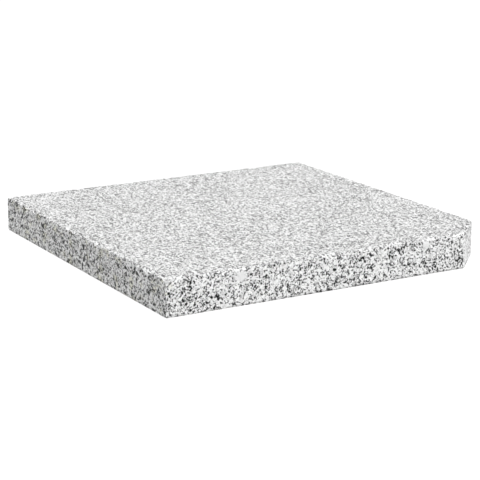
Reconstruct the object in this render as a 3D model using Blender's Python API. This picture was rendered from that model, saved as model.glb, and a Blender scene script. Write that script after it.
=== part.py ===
"""Granite slab: one square plate of natural stone, 30 mm thick.

The plate is a single block of rock. It has no fittings and nothing inside, so
it is one solid. Frame: metres, +Z up, origin at the middle of the underside.
+X runs along the front edge towards the corner that is cut off at 45 degrees,
+Y runs from the front edge to the back edge.
"""

import bmesh
import bpy
from mathutils import Vector

# Driving dimensions, in metres.
SIDE = 0.305  # length and width of the square plan
THICKNESS = 0.030  # height of the plate
CORNER_CUT = 0.031  # the one cut corner: its length along each side
EASE_R = 0.0020  # radius, in plan, of the three square upright edges
CUT_EASE = 0.0012  # width taken off the two upright edges beside the cut
TOP_ARRIS = 0.0016  # rounding of the rim of the upper face
BOTTOM_ARRIS = 0.0012  # chamfer of the rim of the underside
EASE_SEGMENTS = 4
CUT_EASE_SEGMENTS = 3
TOP_ARRIS_SEGMENTS = 3

# Finish.
STONE_COLOUR = (0.61, 0.61, 0.60, 1.0)
STONE_ROUGHNESS = 0.62


def clear_scene():
    for obj in list(bpy.data.objects):
        bpy.data.objects.remove(obj, do_unlink=True)


def stone_material():
    mat = bpy.data.materials.new("granite")
    mat.use_nodes = True
    shader = mat.node_tree.nodes["Principled BSDF"]
    shader.inputs["Base Color"].default_value = STONE_COLOUR
    shader.inputs["Roughness"].default_value = STONE_ROUGHNESS
    shader.inputs["Metallic"].default_value = 0.0
    mat.diffuse_color = STONE_COLOUR
    return mat


def upright_edge_at(bm, x, y):
    """The upright edge of the block nearest this plan position."""
    uprights = [
        e
        for e in bm.edges
        if abs(e.verts[0].co.z - e.verts[1].co.z) > THICKNESS / 2
    ]
    return min(
        uprights, key=lambda e: (e.verts[0].co.xy - Vector((x, y))).length
    )


def bevel_upright(bm, x, y, width, segments):
    """Bevels the upright edge at this plan position: flat with one segment, round with more."""
    bmesh.ops.bevel(
        bm,
        geom=[upright_edge_at(bm, x, y)],
        offset=width,
        offset_type="OFFSET",
        segments=segments,
        profile=0.5,
        affect="EDGES",
    )


def rim_edges(bm, z):
    """The outline of the flat face that lies at this height."""
    return [
        e for e in bm.edges if all(abs(v.co.z - z) < 1e-6 for v in e.verts)
    ]


def slab_mesh():
    half = SIDE / 2
    bm = bmesh.new()

    # The square plan, extruded to the thickness.
    corners = [(-half, -half), (half, -half), (half, half), (-half, half)]
    base = bm.faces.new([bm.verts.new((x, y, 0.0)) for x, y in corners])
    lifted = bmesh.ops.extrude_face_region(bm, geom=[base])["geom"]
    bmesh.ops.translate(
        bm,
        vec=(0.0, 0.0, THICKNESS),
        verts=[g for g in lifted if isinstance(g, bmesh.types.BMVert)],
    )

    # One corner is sawn off at 45 degrees, which leaves two blunt upright
    # edges in its place. Those two and the three square ones are eased.
    bevel_upright(bm, half, -half, CORNER_CUT, 1)
    for x, y in ((half - CORNER_CUT, -half), (half, CORNER_CUT - half)):
        bevel_upright(bm, x, y, CUT_EASE, CUT_EASE_SEGMENTS)
    for x, y in ((-half, -half), (-half, half), (half, half)):
        bevel_upright(bm, x, y, EASE_R, EASE_SEGMENTS)

    # The rim of the upper face is worn round, that of the underside is cut
    # at 45 degrees.
    bmesh.ops.bevel(
        bm,
        geom=rim_edges(bm, THICKNESS),
        offset=TOP_ARRIS,
        offset_type="OFFSET",
        segments=TOP_ARRIS_SEGMENTS,
        profile=0.5,
        affect="EDGES",
    )
    bmesh.ops.bevel(
        bm,
        geom=rim_edges(bm, 0.0),
        offset=BOTTOM_ARRIS,
        offset_type="OFFSET",
        segments=1,
        profile=0.5,
        affect="EDGES",
    )
    bmesh.ops.recalc_face_normals(bm, faces=bm.faces)

    mesh = bpy.data.meshes.new("granite_slab")
    bm.to_mesh(mesh)
    bm.free()
    return mesh


def main():
    clear_scene()
    slab = bpy.data.objects.new("granite_slab", slab_mesh())
    slab.data.materials.append(stone_material())
    bpy.context.collection.objects.link(slab)
    slab.data.shade_smooth()
    slab.data.set_sharp_from_angle(angle=0.5)


main()
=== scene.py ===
import math

import bpy
import numpy as np
from mathutils import Matrix, Vector


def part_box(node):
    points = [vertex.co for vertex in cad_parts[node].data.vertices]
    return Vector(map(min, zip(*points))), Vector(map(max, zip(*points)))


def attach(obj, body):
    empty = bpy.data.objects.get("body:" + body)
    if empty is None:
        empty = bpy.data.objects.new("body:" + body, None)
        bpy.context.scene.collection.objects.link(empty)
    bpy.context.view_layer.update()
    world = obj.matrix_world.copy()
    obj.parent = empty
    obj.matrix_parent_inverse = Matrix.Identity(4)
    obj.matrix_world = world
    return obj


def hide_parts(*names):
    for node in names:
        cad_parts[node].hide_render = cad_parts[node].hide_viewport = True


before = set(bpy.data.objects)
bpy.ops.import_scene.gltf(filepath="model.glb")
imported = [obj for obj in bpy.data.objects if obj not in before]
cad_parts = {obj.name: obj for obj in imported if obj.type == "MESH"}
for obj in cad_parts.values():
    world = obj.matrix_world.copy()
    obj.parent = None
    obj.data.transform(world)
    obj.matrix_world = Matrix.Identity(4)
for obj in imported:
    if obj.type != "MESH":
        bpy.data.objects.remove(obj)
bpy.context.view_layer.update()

# ---------------------------------------------------------------- the frame
NODE = "granite_slab"
LOW, HIGH = (np.array(c, float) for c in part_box(NODE))
X0, Y0, Z0 = LOW
X1, Y1, Z1 = HIGH
MM = 0.001
CUT = 31.0 * MM  # the corner that is sawn off at 45 degrees

# Mesh density.
SEG = 220  # grid cells along each side of the upper face, a multiple of 4


# ---------------------------------------------------------------- noise
def hashed(i, j, k, seed):
    """A repeatable pseudo-random number from 0 to 1 for each lattice point."""
    n = (
        i.astype(np.uint64) * np.uint64(0x9E3779B1)
        + j.astype(np.uint64) * np.uint64(0x85EBCA77)
        + k.astype(np.uint64) * np.uint64(0xC2B2AE3D)
        + np.uint64(seed) * np.uint64(0x27D4EB2F)
    ) & np.uint64(0xFFFFFFFF)
    n ^= n >> np.uint64(15)
    n = (n * np.uint64(0x2C1B3C6D)) & np.uint64(0xFFFFFFFF)
    n ^= n >> np.uint64(12)
    n = (n * np.uint64(0x297A2D39)) & np.uint64(0xFFFFFFFF)
    n ^= n >> np.uint64(15)
    return n.astype(np.float64) / 4294967295.0


def value_noise(p, size, seed):
    """Smooth noise from -1 to 1 at the points p (metres), with features of this size."""
    q = p / size + 1000.0
    c = np.floor(q).astype(np.int64)
    f = q - c
    f = f * f * f * (f * (f * 6 - 15) + 10)
    out = np.zeros(len(p))
    for dx in (0, 1):
        for dy in (0, 1):
            for dz in (0, 1):
                w = (
                    (f[:, 0] if dx else 1 - f[:, 0])
                    * (f[:, 1] if dy else 1 - f[:, 1])
                    * (f[:, 2] if dz else 1 - f[:, 2])
                )
                out += w * hashed(c[:, 0] + dx, c[:, 1] + dy, c[:, 2] + dz, seed)
    return out * 2 - 1


def fractal(p, size, octaves, seed, gain=0.5):
    total, scale, norm = np.zeros(len(p)), 1.0, 0.0
    for o in range(octaves):
        total += scale * value_noise(p, size / 2**o, seed + 17 * o)
        norm += scale
        scale *= gain
    return total / norm


def cells(p, size, seed):
    """Nearest and second-nearest distance (in cell sizes) to scattered points, and the nearest one's random number."""
    q = p / size + 1000.0
    c = np.floor(q).astype(np.int64)
    best = np.full(len(p), 9.0)
    second = np.full(len(p), 9.0)
    tag = np.zeros(len(p))
    for dx in (-1, 0, 1):
        for dy in (-1, 0, 1):
            for dz in (-1, 0, 1):
                i, j, k = c[:, 0] + dx, c[:, 1] + dy, c[:, 2] + dz
                s = np.stack(
                    [
                        i + hashed(i, j, k, seed),
                        j + hashed(i, j, k, seed + 1),
                        k + hashed(i, j, k, seed + 2),
                    ],
                    1,
                )
                d = np.linalg.norm(q - s, axis=1)
                nearer = d < best
                second = np.where(nearer, best, np.minimum(second, d))
                tag = np.where(nearer, hashed(i, j, k, seed + 3), tag)
                best = np.where(nearer, d, best)
    return best, second, tag


# ---------------------------------------------------------------- the block
def outline(inset=0.0):
    """The plan outline moved inwards by this much, counter-clockwise from the front left corner, as points that also index a square grid's border."""
    d, back = inset, inset * (math.sqrt(2) - 1)
    front_cut = np.array([X1 - CUT - back, Y0 + d])
    side_cut = np.array([X1 - d, Y0 + CUT + back])
    middle = (front_cut + side_cut) / 2
    corner_b, corner_d, corner_a = (
        np.array([X0 + d, Y0 + d]),
        np.array([X1 - d, Y1 - d]),
        np.array([X0 + d, Y1 - d]),
    )

    def run(a, b, n):
        t = np.arange(n) / n
        return a + (b - a) * t[:, None]

    whole, short = X1 - X0 - CUT, CUT / math.sqrt(2)
    n_short = round(SEG * short / (whole + short))
    parts = [
        run(corner_b, front_cut, SEG - n_short),
        run(front_cut, middle, n_short),
        run(middle, side_cut, n_short),
        run(side_cut, corner_d, SEG - n_short),
        run(corner_d, corner_a, SEG),
        run(corner_a, corner_b, SEG),
    ]
    return np.concatenate(parts)


PLAN = np.array(
    [(X0, Y0), (X1 - CUT, Y0), (X1, Y0 + CUT), (X1, Y1), (X0, Y1)]
)  # the five corners, counter-clockwise


def inward(xy):
    """How far inside each of the five sides the points lie, one column a side."""
    out = []
    for a, b in zip(PLAN, np.roll(PLAN, -1, axis=0)):
        d = (b - a) / np.linalg.norm(b - a)
        n = np.array([-d[1], d[0]])
        out.append((xy - a) @ n)
    return np.stack(out, 1)


def side_normals():
    out = []
    for a, b in zip(PLAN, np.roll(PLAN, -1, axis=0)):
        d = (b - a) / np.linalg.norm(b - a)
        out.append((d[1], -d[0]))
    return np.array(out)


def grid_from_ring(ring):
    """A square grid of points inside a ring of 4 n points, blended from its four sides."""
    n = len(ring) // 4
    bottom = ring[0 : n + 1]
    right = ring[n : 2 * n + 1]
    top = ring[2 * n : 3 * n + 1][::-1]
    left = np.concatenate([ring[3 * n :], ring[:1]])[::-1]
    u = np.linspace(0, 1, n + 1)[:, None, None]  # along x
    v = np.linspace(0, 1, n + 1)[None, :, None]  # along y
    ruled = (1 - v) * bottom[:, None] + v * top[:, None]
    ruled = ruled + (1 - u) * left[None, :] + u * right[None, :]
    corners = (
        (1 - u) * (1 - v) * ring[0]
        + u * (1 - v) * ring[n]
        + u * v * ring[2 * n]
        + (1 - u) * v * ring[3 * n]
    )
    return ruled - corners


def border_indices(n):
    """The grid's border in the order of its ring."""
    i = np.concatenate([np.arange(n), np.full(n, n), np.arange(n, 0, -1), np.zeros(n, int)])
    j = np.concatenate([np.zeros(n, int), np.arange(n), np.full(n, n), np.arange(n, 0, -1)])
    return i, j


def build_block():
    """The sharp-edged block as a dense closed mesh: vertices, faces, and for each face corner its place on the map."""
    ring = outline()
    n = len(ring)
    verts, faces, uvs, kinds = [], [], [], []

    def add(points):
        start = sum(len(v) for v in verts)
        verts.append(points)
        return np.arange(start, start + len(points))

    def flat(xy, z):
        return np.column_stack([xy, np.full(len(xy), z)])

    # Heights of the rows up the sides: closer together at the two rims.
    low_rows = np.array([0.0, 0.4, 0.8, 1.3, 2.0])
    high_rows = T_MM - np.array([7.0, 6.0, 5.1, 4.3, 3.6, 3.0, 2.4, 1.9, 1.4, 0.9, 0.45, 0.0])
    mid_rows = np.linspace(low_rows[-1], high_rows[0], 18)[1:-1]
    heights = np.concatenate([low_rows, mid_rows, high_rows]) * MM + Z0
    rows = [add(flat(ring, z)) for z in heights]
    # The rings at the rim of the upper face and of the underside.
    top_in = np.array([0.45, 0.9, 1.4, 2.0, 2.7, 3.5, 4.5]) * MM
    rim_top = [rows[-1]] + [add(flat(outline(d), Z1)) for d in top_in]
    low_in = np.array([0.4, 0.8, 1.3, 2.2]) * MM
    rim_low = [rows[0]] + [add(flat(outline(d), Z0)) for d in low_in]

    def band(lower, upper, kind, place):
        """Quads between two rings, wound to face outwards."""
        for i in range(n):
            j = (i + 1) % n
            faces.append((lower[i], lower[j], upper[j], upper[i]))
            kinds.append(kind)
            uvs.append(place(i))

    # Sides: four strips, each a quarter of the ring.
    q = n // 4

    def strip_place(z_low, z_high):
        def place(i):
            s, t = divmod(i, q)
            u0 = STRIP_U0 + STRIP_W * t / q
            u1 = STRIP_U0 + STRIP_W * (t + 1) / q
            base = STRIP_V0 + s * STRIP_STEP
            v0 = base + STRIP_H * (z_low - Z0) / (Z1 - Z0)
            v1 = base + STRIP_H * (z_high - Z0) / (Z1 - Z0)
            return ((u0, v0), (u1, v0), (u1, v1), (u0, v1))

        return place

    for a in range(len(rows) - 1):
        band(rows[a], rows[a + 1], 0, strip_place(heights[a], heights[a + 1]))

    all_points = lambda: np.concatenate(verts)

    def plan_uv(points, where):
        u0, v0, size = where
        return np.column_stack(
            [
                u0 + size * (points[:, 0] - X0) / (X1 - X0),
                v0 + size * (points[:, 1] - Y0) / (Y1 - Y0),
            ]
        )

    def band_flat(outer, inner, kind, where, up):
        pts = all_points()
        place = plan_uv(pts, where)
        for i in range(n):
            j = (i + 1) % n
            f = (outer[i], outer[j], inner[j], inner[i])
            f = f if up else f[::-1]
            faces.append(f)
            kinds.append(kind)
            uvs.append(tuple(map(tuple, place[list(f)])))

    for a in range(len(rim_top) - 1):
        band_flat(rim_top[a], rim_top[a + 1], 1, TOP_AT, True)
    for a in range(len(rim_low) - 1):
        band_flat(rim_low[a], rim_low[a + 1], 2, LOW_AT, False)

    def fill(border, z, kind, where, up):
        """A grid of quads inside the border ring."""
        m = len(border) // 4
        xy = grid_from_ring(all_points()[border][:, :2])
        index = np.full((m + 1, m + 1), -1)
        bi, bj = border_indices(m)
        index[bi, bj] = border
        inner = np.argwhere(index < 0)
        index[inner[:, 0], inner[:, 1]] = add(flat(xy[inner[:, 0], inner[:, 1]], z))
        place = plan_uv(all_points(), where)
        for i in range(m):
            for j in range(m):
                f = (index[i, j], index[i + 1, j], index[i + 1, j + 1], index[i, j + 1])
                f = f if up else f[::-1]
                faces.append(f)
                kinds.append(kind)
                uvs.append(tuple(map(tuple, place[list(f)])))

    fill(rim_top[-1], Z1, 1, TOP_AT, True)

    # The underside is sawn flat, so it needs fewer points: the ring is halved twice.
    ring_now, inset = rim_low[-1], low_in[-1]
    for skip, step in ((2, 2.5 * MM), (4, 5.0 * MM)):
        inset += step
        half = len(ring_now) // 2
        nxt = add(flat(outline(inset)[::skip], Z0))
        place = plan_uv(all_points(), LOW_AT)
        for i in range(half):
            a, b, c = ring_now[2 * i], ring_now[2 * i + 1], ring_now[(2 * i + 2) % len(ring_now)]
            d, e = nxt[i], nxt[(i + 1) % half]
            for f in ((a, d, b), (b, d, e), (b, e, c)):
                faces.append(f)
                kinds.append(2)
                uvs.append(tuple(map(tuple, place[list(f)])))
        ring_now = nxt
    fill(ring_now, Z0, 2, LOW_AT, False)
    return all_points(), faces, uvs, kinds


T_MM = (Z1 - Z0) / MM

# Where each face of the block lies on the map: the upper face largest, the
# sides in four strips below it, the underside smaller, beside it.
TOP_AT = (0.004, 0.336, 0.660)
LOW_AT = (0.670, 0.670, 0.326)
STRIP_U0, STRIP_W = 0.004, 0.660
STRIP_V0, STRIP_STEP, STRIP_H = 0.006, 0.082, 0.076


def wear(points):
    """Moves the sharp block's points to the worn, rough stone's surface. Returns the points, and how much of each is fresh broken stone."""
    p = points.copy()
    xy = p[:, :2]
    gap = inward(xy)
    near = gap.min(1)
    normals = side_normals()
    depth = Z1 - p[:, 2]
    height = p[:, 2] - Z0
    on_top = depth < 1e-7
    on_low = height < 1e-7
    on_side = near < 1e-7

    # 1. Rounding of every edge: pull the point onto a block shrunk by r, then
    # push it back out by r.
    r = 1.3 * MM * np.ones(len(p))
    r_up = np.clip(0.9 + 0.5 * fractal(p, 14 * MM, 2, 5), 0.4, 1.8) * MM
    inner = p.copy()
    inner[:, :2] = shrunk_by(xy, r)
    inner[:, 2] = np.clip(p[:, 2], Z0 + 0.9 * MM, Z1 - r_up)
    out = p - inner
    length = np.linalg.norm(out, axis=1)
    keep = length > 1e-9
    reach = np.where(p[:, 2] > (Z0 + Z1) / 2, r_up, 0.9 * MM)
    reach = np.where(on_side & (depth > 2 * MM) & (height > 2 * MM), r, reach)
    radius = np.minimum(np.where(keep, length, 0), reach + (r - reach) * np.clip(
        np.minimum(depth, height) / (2 * MM), 0, 1))
    p[keep] = inner[keep] + out[keep] / length[keep, None] * radius[keep, None]

    # 2. Chips along the upper rim. For each point, how far in from its
    # nearest side plus how far down: a chip takes off everything nearer to
    # the edge than its own depth.
    side = gap.argmin(1)
    face_in = near
    span = 9 * MM
    zone = (face_in < span) & (depth < span)
    q = p[zone]
    flatq = q.copy()
    flatq[:, 2] = Z1
    small = cells(flatq, 5.5 * MM, 41)
    large = cells(flatq, 17 * MM, 71)
    bite = 0.75 + 0.5 * fractal(flatq, 9 * MM, 2, 91)
    bite += np.where(small[2] > 0.40, (small[2] - 0.40) * 6.0 * np.clip(1 - (small[0] / 0.75) ** 2, 0, 1), 0)
    bite += np.where(large[2] > 0.50, (large[2] - 0.50) * 12.0 * np.clip(1 - (large[0] / 0.62) ** 2, 0, 1), 0)
    # Near an upright corner the two sides share the point between them.
    share = np.clip(1 - (gap[zone] - near[zone][:, None]) / (3.5 * MM), 0, 1) ** 2
    share /= share.sum(1)[:, None]
    # The two far edges were sawn cleaner than the two near ones.
    bite *= share @ np.array([1.15, 1.0, 0.35, 0.35, 1.35])
    bite = np.clip(bite, 0.35, 6.0) * MM
    named = np.zeros(len(q))
    for cx, cy, reach_mm, deep_mm in CHIPS:
        d = np.linalg.norm(flatq[:, :2] - (cx, cy), axis=1)
        bowl = deep_mm * MM * np.sqrt(np.clip(1 - (d / (reach_mm * MM)) ** 2, 0, 1))
        named = np.where(bowl > bite, 1.0, named)
        bite = np.maximum(bite, bowl)
    # The broken surface is rough in its own right.
    rough = 0.50 * fractal(q, 3.0 * MM, 3, 131) * MM
    slope = 0.72 + 0.30 * value_noise(flatq, 11 * MM, 151)  # flatter or steeper than 45 degrees
    inside = np.maximum(inward(q[:, :2]).min(1), 0)
    down = Z1 - q[:, 2]
    met = inside * slope + down / slope * 0.9 + rough
    lack = bite - met
    cutting = lack > 0
    n3 = np.zeros((len(q), 3))
    outward = share @ normals
    outward /= np.linalg.norm(outward, axis=1)[:, None]
    n3[:, :2] = outward * slope[:, None]
    n3[:, 2] = 0.9 / slope
    n3 /= (n3**2).sum(1)[:, None]
    moved = q - n3 * np.where(cutting, lack, 0)[:, None]
    p[zone] = moved
    fresh = np.zeros(len(p))
    fresh[zone] = np.clip(lack / (0.5 * MM), 0, 1) * (1 + 0.8 * named)

    # 3. The grain of each face. Everything only goes inwards, so that the
    # stone stays inside its box.
    def down_from(noise, low, high):
        return low + (high - low) * (0.5 + 0.5 * np.clip(noise, -1, 1))

    topness = np.clip(1 - depth / (1.2 * MM), 0, 1) * np.clip(face_in / (1.5 * MM), 0, 1)
    sideness = np.clip(1 - face_in / (1.2 * MM), 0, 1) * np.clip(depth / (1.5 * MM), 0, 1) * np.clip(height / (1.0 * MM), 0, 1)
    pits = cells(points, 2.1 * MM, 201)
    flame = (
        0.16 * fractal(points, 28 * MM, 2, 211)
        + 0.22 * fractal(points, 6.5 * MM, 3, 221)
        + 0.34 * (pits[2] - 0.5) * np.clip(1.3 - pits[0] * 1.6, 0, 1)
    )
    p[:, 2] -= topness * down_from(flame / 0.45, 0.0, 0.75) * MM
    saw = (
        0.55 * fractal(points, 36 * MM, 2, 311)
        + 0.22 * fractal(points, 5.0 * MM, 3, 321)
        + 0.25 * (pits[2] - 0.5)
    )
    amount = sideness * down_from(saw / 0.7, 0.0, 0.85) * MM
    p[:, :2] -= normals[side] * amount[:, None]
    lowness = np.clip(1 - height / (0.8 * MM), 0, 1) * np.clip(face_in / (2 * MM), 0, 1)
    p[:, 2] += lowness * down_from(fractal(points, 24 * MM, 2, 411) + 0.3 * (pits[2] - 0.5), 0.0, 0.22) * MM
    return p, fresh


def shrunk_by(xy, r):
    """Each point pulled inside the outline by at least r."""
    moved = xy.copy()
    normals = side_normals()
    for _ in range(4):
        gap = inward(moved)
        for k in range(5):
            need = np.maximum(r - gap[:, k], 0)
            moved -= need[:, None] * normals[k]
            gap = inward(moved)
    return moved


# Chips that stand out on the real plate: plan position, reach and depth in mm.
CHIPS = [
    (X0, Y0, 8.0, 4.4),
    (X0, Y1, 3.0, 1.2),
    (X0 + 235 * MM, Y0, 5.5, 3.9),
    (X1 - CUT - 9 * MM, Y0, 6.0, 2.6),
    (X0 + 62 * MM, Y0, 9.0, 2.8),
    (X0 + 136 * MM, Y0, 8.0, 2.4),
    (X0 + 204 * MM, Y0, 10.0, 3.2),
    (X0, Y0 + 96 * MM, 8.0, 2.2),
    (X0, Y0 + 214 * MM, 9.0, 2.5),
    (X1, Y0 + 150 * MM, 8.0, 1.2),
    (X0 + 120 * MM, Y1, 9.0, 1.3),
]

# Smooth pale scars where one feldspar crystal has split: middle, half width along
# the edge and half height, in mm, and how much of the scar is bare feldspar.
SCARS = [
    ((X0 + 234.8 * MM, Y0 + 2 * MM, Z1 - 4.6 * MM), 4.2, 5.0, 1.0),
    ((X0 + 64.2 * MM, Y0 + 1 * MM, Z1 - 6.8 * MM), 5.0, 4.2, 1.0),
    ((X0 + 1.0 * MM, Y0 + 1.0 * MM, Z1 - 2.0 * MM), 7.0, 4.5, 0.60),
]


def scarred(points):
    out = np.zeros(len(points))
    for middle, half_width, half_height, share in SCARS:
        off = (points - np.array(middle)) / MM
        reach = np.sqrt((off[:, 0] ** 2 + off[:, 1] ** 2) / half_width**2 + (off[:, 2] / half_height) ** 2)
        out = np.maximum(out, share * np.clip(1.5 - reach, 0, 1))
    return out


def make_slab():
    points, faces, uvs, kinds = build_block()
    worn, fresh = wear(points)
    lo, hi = LOW + 1e-6, HIGH - 1e-6
    worn = np.clip(worn, lo, hi)
    mesh = bpy.data.meshes.new("stone_plate")
    mesh.from_pydata(worn.tolist(), [], [list(map(int, f)) for f in faces])
    layer = mesh.uv_layers.new(name="OFBake")
    layer.uv.foreach_set("vector", np.array([c for f in uvs for c in f], np.float32).ravel())
    broken = mesh.attributes.new("broken", "FLOAT", "POINT")
    broken.data.foreach_set("value", fresh.astype(np.float32))
    face_kind = mesh.attributes.new("upper", "FLOAT", "POINT")
    upper = np.clip(1 - (Z1 - points[:, 2]) / (0.5 * MM), 0, 1)
    face_kind.data.foreach_set("value", upper.astype(np.float32))
    # The lower rim, darkened in the material as painted shade, and the sawn-off corner's own face, made paler as
    # painted light.
    gap = inward(points[:, :2])
    rim = np.hypot(points[:, 2] - Z0, gap.min(1)) / MM
    painted_rim_shade = mesh.attributes.new("painted_rim_shade", "FLOAT", "POINT")
    painted_rim_shade.data.foreach_set("value", np.clip((1.9 - rim) / 0.8, 0, 1).astype(np.float32))
    cut = mesh.attributes.new("cut", "FLOAT", "POINT")
    cut.data.foreach_set("value", np.clip(1 - gap[:, 1] / (1.5 * MM), 0, 1).astype(np.float32))
    # The left side, which is stained, and whose mica flakes are made larger as painted shade for its shaded hollows.
    left = mesh.attributes.new("left", "FLOAT", "POINT")
    left.data.foreach_set("value", np.clip((7.0 - gap[:, 4] / MM) / 6.0, 0, 1).astype(np.float32) * (1 - upper).astype(np.float32))
    scar = mesh.attributes.new("scar", "FLOAT", "POINT")
    scar.data.foreach_set("value", scarred(points).astype(np.float32))
    mesh.shade_smooth()
    mesh.update()
    mesh.validate()
    slab = bpy.data.objects.new("stone_plate", mesh)
    bpy.context.scene.collection.objects.link(slab)
    print("SLAB", len(mesh.vertices), "points", len(mesh.polygons), "faces",
          sum(len(f) - 2 for f in faces), "triangles")
    return slab


# ---------------------------------------------------------------- the stone
GRAIN_RUN = 1.25  # the rock's grain runs front to back: crystals are this much longer that way

GRAIN_FROM = (-182.0, 262.0, -195.0)  # where in the rock the plate was sawn from, in the grain's own units


class Nodes:
    """Short names for building a node tree."""

    def __init__(self, tree):
        self.tree = tree

    def new(self, kind, **values):
        node = self.tree.nodes.new(kind)
        for key, value in values.items():
            setattr(node, key, value)
        return node

    def wire(self, value, socket):
        if isinstance(value, bpy.types.NodeSocket):
            self.tree.links.new(value, socket)
        elif value is not None:
            socket.default_value = value

    def math(self, op, a, b=None, c=None, clamp=False):
        node = self.new("ShaderNodeMath", operation=op, use_clamp=clamp)
        for socket, value in zip(node.inputs, (a, b, c)):
            self.wire(value, socket)
        return node.outputs[0]

    def vector(self, op, a, b=None, scale=None):
        node = self.new("ShaderNodeVectorMath", operation=op)
        self.wire(a, node.inputs[0])
        if b is not None:
            self.wire(b, node.inputs[1])
        if scale is not None:
            self.wire(scale, node.inputs["Scale"])
        return node.outputs[0]

    def noise(self, at, scale, detail=2.0, rough=0.5, distort=0.0, colour=False):
        node = self.new("ShaderNodeTexNoise", noise_dimensions="3D")
        self.wire(at, node.inputs["Vector"])
        node.inputs["Scale"].default_value = scale
        node.inputs["Detail"].default_value = detail
        node.inputs["Roughness"].default_value = rough
        node.inputs["Distortion"].default_value = distort
        return node.outputs["Color" if colour else "Fac"]

    def cells(self, at, scale, feature="F1"):
        node = self.new("ShaderNodeTexVoronoi", voronoi_dimensions="3D", feature=feature)
        self.wire(at, node.inputs["Vector"])
        node.inputs["Scale"].default_value = scale
        return node

    def ramp(self, value, stops, mode="LINEAR"):
        node = self.new("ShaderNodeValToRGB")
        node.color_ramp.interpolation = mode
        while len(node.color_ramp.elements) < len(stops):
            node.color_ramp.elements.new(0.5)
        for element, (place, colour) in zip(node.color_ramp.elements, stops):
            element.position = place
            element.color = (*colour, 1) if isinstance(colour, tuple) else (colour,) * 3 + (1,)
        self.wire(value, node.inputs[0])
        return node.outputs[0]

    def span(self, value, low, high, to_low=0.0, to_high=1.0):
        node = self.new("ShaderNodeMapRange")
        node.clamp = True
        self.wire(value, node.inputs[0])
        for i, v in enumerate((low, high, to_low, to_high), 1):
            node.inputs[i].default_value = v
        return node.outputs[0]

    def mix(self, fac, a, b, blend="MIX"):
        node = self.new("ShaderNodeMix", data_type="RGBA", blend_type=blend)
        self.wire(fac, node.inputs[0])
        self.wire(a, node.inputs[6])
        self.wire(b, node.inputs[7])
        return node.outputs[2]

    def part(self, colour, which):
        node = self.new("ShaderNodeSeparateColor")
        self.wire(colour, node.inputs[0])
        return node.outputs[which]

    def part_z(self, vector):
        node = self.new("ShaderNodeSeparateXYZ")
        self.wire(vector, node.inputs[0])
        return node.outputs[2]

    def attribute(self, name):
        return self.new("ShaderNodeAttribute", attribute_name=name).outputs["Fac"]


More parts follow.
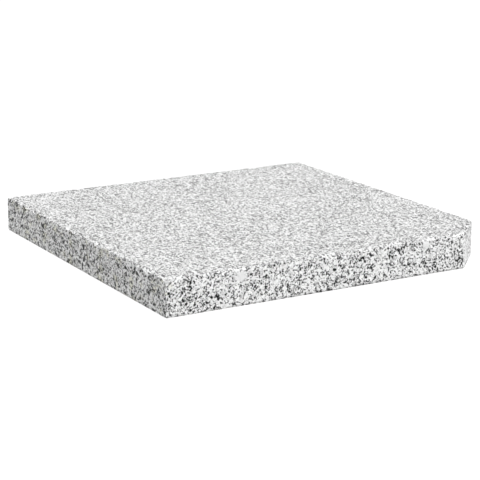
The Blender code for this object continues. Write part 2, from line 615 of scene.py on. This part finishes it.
def granite():
    mat = bpy.data.materials.new("granite")
    mat.use_nodes = True
    tree = mat.node_tree
    tree.nodes.clear()
    n = Nodes(tree)
    out = n.new("ShaderNodeOutputMaterial")
    shader = n.new("ShaderNodeBsdfPrincipled")
    tree.links.new(shader.outputs[0], out.inputs[0])

    # Nearly millimetres, in the block's own frame, so the grain runs through it.
    at = n.vector("MULTIPLY", n.new("ShaderNodeTexCoord").outputs["Object"], (1080.0, 1080.0 / GRAIN_RUN, 1080.0))
    at = n.vector("ADD", at, GRAIN_FROM)
    # Crystal borders wander, so the cells are looked up at a shifted place.
    shift = n.vector("SUBTRACT", n.noise(at, 1.0, 2.0, 0.55, colour=True), (0.5, 0.5, 0.5))
    warped = n.vector("ADD", at, n.vector("SCALE", shift, scale=2.5))
    shift2 = n.vector("SUBTRACT", n.noise(at, 0.33, 1.0, 0.5, colour=True), (0.5, 0.5, 0.5))
    warped2 = n.vector("ADD", at, n.vector("SCALE", shift2, scale=2.6))

    # Feldspar grains of 2 to 6 mm: calm and pale inside, with the mica and the
    # fine-grained stone between them.
    grain = n.cells(warped2, 0.29)
    rim = n.cells(warped2, 0.29, "DISTANCE_TO_EDGE").outputs["Distance"]
    calm = n.math("MULTIPLY", n.span(n.part(grain.outputs["Color"], 0), 0.38, 0.46), n.span(rim, 0.05, 0.17))
    upper = n.attribute("upper")
    left = n.attribute("left")
    calm = n.math("MULTIPLY", calm, n.span(upper, 0.0, 1.0, 1.0, 0.45))  # hammered to pieces on top

    # The ground is a mosaic of feldspar, white to pale grey, and quartz, grey.
    gather = n.noise(at, 0.11, 3.0, 0.6)
    mid = n.cells(warped, 0.74)
    mid_r = n.part(mid.outputs["Color"], 0)
    fine = n.cells(warped, 1.50)
    fine_r = n.part(fine.outputs["Color"], 0)
    fine_g = n.part(fine.outputs["Color"], 1)
    pick = n.math("ADD", n.math("MULTIPLY", mid_r, 0.55), n.math("MULTIPLY", fine_r, 0.45))
    pick = n.math("ADD", pick, n.span(gather, 0.30, 0.70, -0.05, 0.05))
    tone = n.ramp(pick, [
        (0.00, 0.90), (0.36, 0.84), (0.42, 0.68), (0.62, 0.60), (0.68, 0.42), (1.0, 0.34)])
    pale = n.span(n.part(grain.outputs["Color"], 1), 0.0, 1.0, 0.70, 0.84)
    tone = n.mix(n.math("MULTIPLY", calm, 0.70), tone, pale)

    # Mica: small dark flakes, gathered in places, and a few larger books.
    def flakes(cell, least, reach, channel):
        """Full inside a flake: only cells above the least number hold one, and it grows with the number."""
        size = n.span(n.part(cell.outputs["Color"], channel), least, 1.0, 0.0, reach)
        size = n.math("MULTIPLY", size, n.span(gather, 0.32, 0.68, 0.92, 1.10))
        size = n.math("MULTIPLY", size, n.span(calm, 0.0, 1.0, 1.24, 0.52))
        # Larger flakes on the left side: painted shade for the shade in that side's hollows.
        size = n.math("MULTIPLY", size, n.span(left, 0.0, 1.0, 1.0, 1.22))
        size = n.math("MULTIPLY", size, n.span(upper, 0.0, 1.0, 1.0, 0.90))
        return n.math("SUBTRACT", cell.outputs["Distance"], size)

    small = flakes(n.cells(warped, 0.78), 0.20, 0.83, 2)
    large = flakes(n.cells(warped2, 0.40), 0.70, 0.56, 1)
    edge = n.math("MINIMUM", small, n.math("MULTIPLY", large, 1.9))
    mica = n.span(edge, -0.03, 0.02, 1.0, 0.0)
    # The feldspar next to a flake is clean and white.
    halo = n.span(edge, 0.10, 0.42, 0.85, 0.0)
    tone = n.mix(halo, tone, (0.90, 0.90, 0.90, 1.0))
    tone = n.mix(mica, tone, (0.008, 0.008, 0.008, 1.0))
    colour = tone

    # Fine dust and cracks.
    dust = n.noise(at, 2.6, 3.0, 0.65)
    colour = n.mix(1.0, colour, n.ramp(dust, [(0.25, 0.90), (0.75, 1.08)]), "MULTIPLY")
    crack = n.cells(warped, 0.74, "DISTANCE_TO_EDGE")
    colour = n.mix(n.span(crack.outputs["Distance"], 0.0, 0.05, 0.30, 0.0), colour, (0.20, 0.20, 0.20, 1.0))

    # Faint olive stains, mostly on the left side.
    stain = n.noise(n.vector("ADD", at, (5.0, 60.0, 9.0)), 0.085, 3.0, 0.6)
    stain = n.math("MULTIPLY", n.span(stain, 0.54, 0.63), n.span(n.noise(at, 0.5, 2.0, 0.6), 0.30, 0.55, 0.3, 1.0))
    stain = n.math("MULTIPLY", stain, n.span(left, 0.0, 1.0, 0.06, 0.95))
    colour = n.mix(stain, colour, (0.92, 0.91, 0.78, 1.0), "MULTIPLY")

    # Painted shade along the lower rim, which faces down: darkened in patches.
    low = n.math("MULTIPLY", n.attribute("painted_rim_shade"), n.span(n.noise(at, 0.2, 2.0, 0.6), 0.35, 0.70, 0.10, 0.85))
    colour = n.mix(low, colour, (0.30, 0.30, 0.29, 1.0), "MULTIPLY")

    # Flamed and broken stone is bruised white; the sawn-off corner's face is also made paler, as painted light for the
    # light that face catches.
    broken = n.attribute("broken")
    bruise_and_corner_light = n.math("MAXIMUM", n.math("MULTIPLY", upper, 0.47), n.math("MULTIPLY", broken, 0.15))
    # Painted light: the sawn-off corner's face is whitened for the light that falls on it.
    bruise_and_corner_light = n.math("MAXIMUM", bruise_and_corner_light, n.math("MULTIPLY", n.attribute("cut"), 0.50))
    patchy = n.span(n.noise(at, 0.45, 3.0, 0.6), 0.3, 0.7, 0.6, 1.2)
    bruise_and_corner_light = n.math("MULTIPLY", bruise_and_corner_light, n.span(mica, 0.0, 1.0, 1.0, 0.40))  # the mica whitens least
    bruise_and_corner_light = n.math("MULTIPLY", bruise_and_corner_light, patchy, clamp=True)
    colour = n.mix(bruise_and_corner_light, colour, (0.90, 0.90, 0.90, 1.0))
    # A split crystal is bare, smooth and pale.
    scar = n.math("ADD", n.attribute("scar"), n.span(n.noise(at, 0.35, 2.0, 0.6), 0.3, 0.7, -0.16, 0.16))
    scar = n.math("MULTIPLY", n.span(scar, 0.42, 0.62), n.span(n.attribute("scar"), 0.5, 1.0, 0.6, 0.95))
    colour = n.mix(scar, colour, n.span(dust, 0.25, 0.75, 0.67, 0.75))
    n.wire(colour, shader.inputs["Base Color"])

    # Quartz and mica faces glint, bruised feldspar is dull.
    rough = n.ramp(mid_r, [(0.0, 0.72), (0.5, 0.66), (0.8, 0.45), (1.0, 0.38)])
    rough = n.mix(mica, rough, (0.35, 0.35, 0.35, 1.0))
    rough = n.mix(bruise_and_corner_light, rough, (0.85, 0.85, 0.85, 1.0))
    n.wire(rough, shader.inputs["Roughness"])
    shader.inputs["Specular IOR Level"].default_value = 0.12

    # Relief: crystals stand at different heights, mica sits low, and the
    # broken surface is grainy.
    relief = n.math("ADD", n.math("MULTIPLY", mid_r, 0.10), n.math("MULTIPLY", fine_g, 0.09))
    relief = n.math("ADD", relief, n.math("MULTIPLY", dust, 0.16))
    relief = n.math("SUBTRACT", relief, n.math("MULTIPLY", mica, 0.10))
    relief = n.math("ADD", relief, n.math("MULTIPLY", n.noise(at, 1.1, 3.0, 0.6), 0.22))
    bump = n.new("ShaderNodeBump")
    bump.inputs["Strength"].default_value = 0.8
    bump.inputs["Distance"].default_value = 0.001
    n.wire(relief, bump.inputs["Height"])
    tree.links.new(bump.outputs[0], shader.inputs["Normal"])
    return mat


# ---------------------------------------------------------------- the studio
def floor():
    """A round white sheet, flat under the plate and curving up far behind it on every side."""
    around = 96
    radii = [0.0, 1.0, 2.5, 4.0] + [4.0 + 0.5 * k for k in range(1, 13)]
    verts, faces = [(0.0, 0.0, 0.0)], []
    for r in radii[1:]:
        z = 0.055 * max(r - 4.0, 0.0) ** 2
        verts += [
            (r * math.cos(2 * math.pi * k / around), r * math.sin(2 * math.pi * k / around), z)
            for k in range(around)
        ]
    for k in range(around):
        j = (k + 1) % around
        faces.append((0, 1 + k, 1 + j))
        for ring in range(len(radii) - 2):
            a, b = 1 + ring * around, 1 + (ring + 1) * around
            faces.append((a + k, b + k, b + j, a + j))
    mesh = bpy.data.meshes.new("studio_floor")
    mesh.from_pydata(verts, [], faces)
    mesh.shade_smooth()
    obj = bpy.data.objects.new("studio_floor", mesh)
    obj.location.z = Z0 - 0.0002
    bpy.context.scene.collection.objects.link(obj)
    mat = bpy.data.materials.new("studio_white")
    mat.use_nodes = True
    tree = mat.node_tree
    tree.nodes.clear()
    n = Nodes(tree)
    out = n.new("ShaderNodeOutputMaterial")
    shader = n.new("ShaderNodeBsdfPrincipled")
    tree.links.new(shader.outputs[0], out.inputs[0])
    at = n.new("ShaderNodeTexCoord").outputs["Object"]
    n.wire(n.ramp(n.noise(at, 3.0), [(0.3, 0.09), (0.7, 0.11)]), shader.inputs["Base Color"])
    shader.inputs["Roughness"].default_value = 0.9
    shader.inputs["Specular IOR Level"].default_value = 0.0
    shader.inputs["Emission Color"].default_value = (1, 1, 1, 1)
    shader.inputs["Emission Strength"].default_value = FLOOR_GLOW
    mesh.materials.append(mat)
    return obj


SKY = 0.34
FLOOR_GLOW = 0.96
SUN = 1.05


def lights():
    world = bpy.data.worlds.new("studio")
    bpy.context.scene.world = world
    world.use_nodes = True
    back = world.node_tree.nodes["Background"]
    back.inputs[0].default_value = (1.0, 1.0, 1.0, 1.0)
    back.inputs[1].default_value = SKY

    # One wide, far softbox over the front edge.
    data = bpy.data.lights.new("key", "SUN")
    data.angle = math.radians(30.0)
    data.energy = SUN * math.pi
    obj = bpy.data.objects.new("key", data)
    obj.rotation_euler = (-Vector(SUN_FROM)).to_track_quat("-Z", "Y").to_euler()
    obj.location = Vector(SUN_FROM) * 3
    bpy.context.scene.collection.objects.link(obj)


SUN_FROM = (0.04, -0.42, 0.89)


def camera():
    data = bpy.data.cameras.new("camera")
    data.sensor_fit = "HORIZONTAL"
    data.sensor_width = 36.0
    data.lens = 1604.8 * 36.0 / 480.0
    data.clip_start, data.clip_end = 0.01, 100.0
    data.dof.use_dof = False
    obj = bpy.data.objects.new("camera", data)
    obj.location = (-0.667156, -1.151322, 0.354505)
    az, el = math.radians(30.026), math.radians(14.703)
    aim = Vector((math.sin(az) * math.cos(el), math.cos(az) * math.cos(el), -math.sin(el)))
    obj.rotation_euler = aim.to_track_quat("-Z", "Y").to_euler()
    bpy.context.scene.collection.objects.link(obj)
    bpy.context.scene.camera = obj


slab = make_slab()
slab.data.materials.append(granite())
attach(slab, "root")
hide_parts(NODE)
floor()
lights()
camera()
bpy.context.scene.view_settings.view_transform = "Standard"
bpy.context.scene.view_settings.look = "None"
